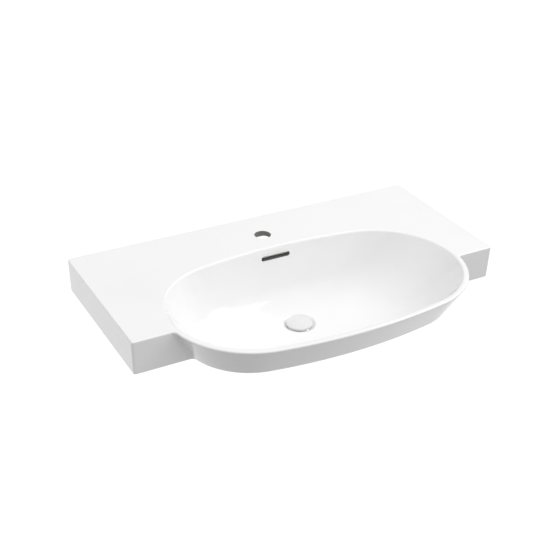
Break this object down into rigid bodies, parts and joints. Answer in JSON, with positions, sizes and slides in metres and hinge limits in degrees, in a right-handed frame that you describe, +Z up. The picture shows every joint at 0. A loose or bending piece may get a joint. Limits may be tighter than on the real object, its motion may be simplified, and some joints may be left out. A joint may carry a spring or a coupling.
{
  "type": "washbasin",
  "caption": "Vanity washbasin in glazed china with an integral oval bowl, overflow slot, tap hole and a push-button waste.",
  "frame": {"origin": "on the wall plane, midway between the two wall fixing holes", "axes": "+X along the wall to the right of a person who faces the basin, +Y into the wall, +Z up"},
  "size_m": [0.7998, 0.4957, 0.188],
  "materials": {
    "glazed_china": "glossy white glaze",
    "cap_china": "glossy white glaze",
    "chromed_brass": "polished chrome on brass",
    "brass": "bare machined brass",
    "black_rubber": "matte black rubber",
    "spring_steel": "drawn stainless steel",
    "white_acetal": "white acetal"
  },
  "bodies": {
    "basin": {"basin_body": "glazed_china", "guide_bush": "white_acetal", "return_spring": "spring_steel", "cartridge_body": "white_acetal", "cartridge_cap": "white_acetal", "waste_body": "chromed_brass", "flange_gasket": "black_rubber", "cone_washer": "black_rubber", "slip_washer": "white_acetal", "backnut": "brass"},
    "cap": {"waste_cap": "cap_china", "cap_carrier": "brass", "cap_seal": "black_rubber", "seal_washer": "spring_steel", "cap_stem": "brass", "stem_locknut": "brass", "plunger": "brass"},
    "cam": {"cam_ring": "white_acetal"}
  },
  "joints": [
    {"name": "cap_lift", "type": "slide", "parent": "basin", "child": "cap", "axis": [0, 0, 1], "range_m": [-0.0015, 0.009], "deforming": ["return_spring"]},
    {"name": "cam_turn", "type": "hinge", "parent": "basin", "child": "cam", "pos_m": [0, -0.2445, -0.11335], "axis": [0, 0, 1], "range_deg": [-7, 39.2]}
  ],
  "couplings": [
    {"joint": "cam_turn", "follows": "cap_lift", "rad_per_m": 74.8}
  ]
}
